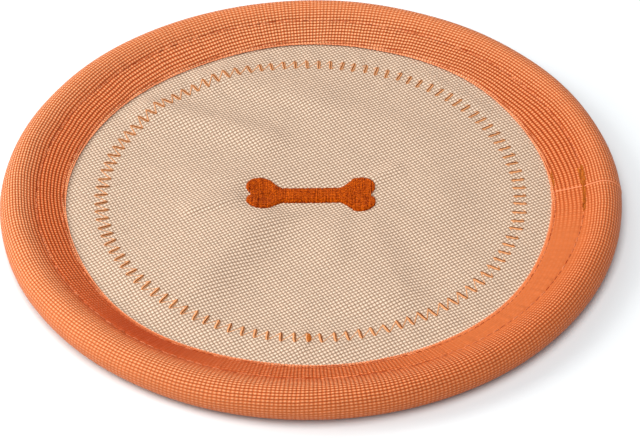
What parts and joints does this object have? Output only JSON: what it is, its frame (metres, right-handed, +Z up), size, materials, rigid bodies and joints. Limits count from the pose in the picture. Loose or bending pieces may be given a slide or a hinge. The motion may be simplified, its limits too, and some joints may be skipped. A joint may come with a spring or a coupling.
{
  "type": "fabric flying disc",
  "caption": "Soft fabric flying disc for dogs: a hose rim in a sewn woven sleeve, and a closed woven centre with a zig-zag stitched ring and an embroidered bone.",
  "frame": {"origin": "on the disc's axis, at the level the rim rests on", "axes": "+Z up along the disc's axis, +X towards the sleeve's join, +Y away from the zig-zag ring's locking bar"},
  "size_m": [0.23, 0.23, 0.0125],
  "materials": {
    "orange_oxford": "plain weave oxford polyester, about 1.3 mm pitch",
    "cream_oxford": "plain weave oxford polyester, about 1.3 mm pitch",
    "foam": "thin closed-cell foam sheet",
    "hose_plastic": "matte flexible hose",
    "joiner_plastic": "matte moulded plug",
    "bone_thread": "dense satin embroidery, soft sheen",
    "golden_thread": "polyester sewing thread",
    "orange_thread": "polyester sewing thread"
  },
  "bodies": {
    "root": {"rim_sleeve": "orange_oxford", "rim_tube": "hose_plastic", "tube_joiner": "joiner_plastic", "top_panel": "cream_oxford", "panel_interlining": "foam", "bottom_panel": "cream_oxford", "bone_embroidery": "bone_thread", "zigzag_needle_thread": "golden_thread", "zigzag_bobbin_thread": "golden_thread", "channel_needle_thread": "orange_thread", "channel_bobbin_thread": "orange_thread", "channel_backtack": "golden_thread", "hem_needle_thread": "orange_thread", "hem_bobbin_thread": "orange_thread", "hem_backtack": "golden_thread", "sleeve_join_thread": "orange_thread"}
  },
  "joints": []
}
